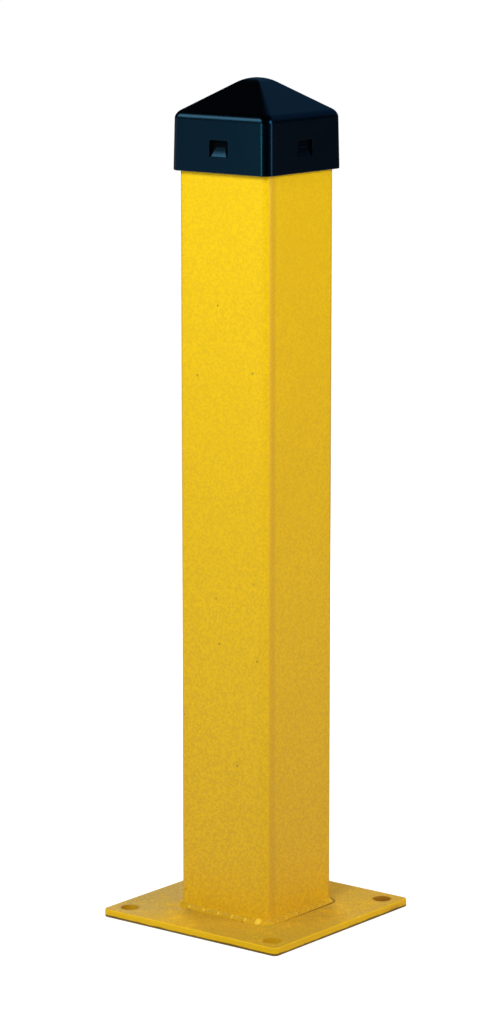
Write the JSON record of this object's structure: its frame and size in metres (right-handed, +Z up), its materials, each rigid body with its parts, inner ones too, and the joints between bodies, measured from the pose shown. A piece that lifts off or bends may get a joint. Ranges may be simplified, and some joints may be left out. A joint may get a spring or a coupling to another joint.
{
  "type": "safety bollard",
  "caption": "Square steel guard post welded to a drilled square base plate, painted yellow, with a black pyramid cap.",
  "frame": {"origin": "centre of the base plate's underside, on the floor that the plate is bolted to", "axes": "+Z up along the post; +X and +Y square to the plate's edges and the post's sides"},
  "size_m": [0.254, 0.254, 0.9701],
  "materials": {
    "yellow_paint": "semi-gloss enamel",
    "black_plastic": "satin moulded"
  },
  "bodies": {
    "root": {"base_plate": "yellow_paint", "weld_bead": "yellow_paint", "post_tube": "yellow_paint", "post_cap": "black_plastic"}
  },
  "joints": []
}
